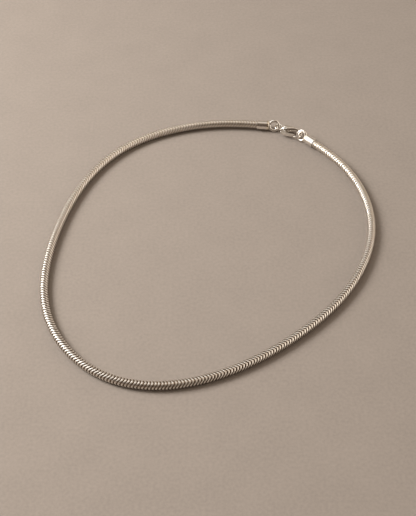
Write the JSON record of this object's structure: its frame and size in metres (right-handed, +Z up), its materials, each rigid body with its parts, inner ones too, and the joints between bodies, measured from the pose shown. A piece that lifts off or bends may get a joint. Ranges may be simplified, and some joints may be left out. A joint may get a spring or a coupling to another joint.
{
  "type": "snake chain",
  "caption": "Round silver snake chain lying in a loose oval, closed by a lobster clasp through rings soldered to its end caps.",
  "frame": {"origin": "middle of the loop's outline, on the table that the chain lies on", "axes": "+Z up from the table, +Y from the front of the loop towards the clasp at its back, +X to the right when seen from the front"},
  "size_m": [0.1256, 0.135, 0.0044],
  "materials": {
    "chain_silver": "polished silver links",
    "polished_silver": "polished silver"
  },
  "bodies": {
    "necklace": {"snake_chain": "chain_silver", "end_cap_left": "polished_silver", "end_cap_right": "polished_silver", "clasp_body": "polished_silver", "lever_pin": "polished_silver"},
    "lever": {"clasp_lever": "polished_silver"}
  },
  "joints": [
    {"name": "lever_hinge", "type": "hinge", "parent": "necklace", "child": "lever", "pos_m": [0.03035, 0.06206, 0.0019], "axis": [0, 0, 1], "range_deg": [0, 26], "stiffness_Nm_per_rad": 0.003, "springref_deg": -11.46}
  ]
}
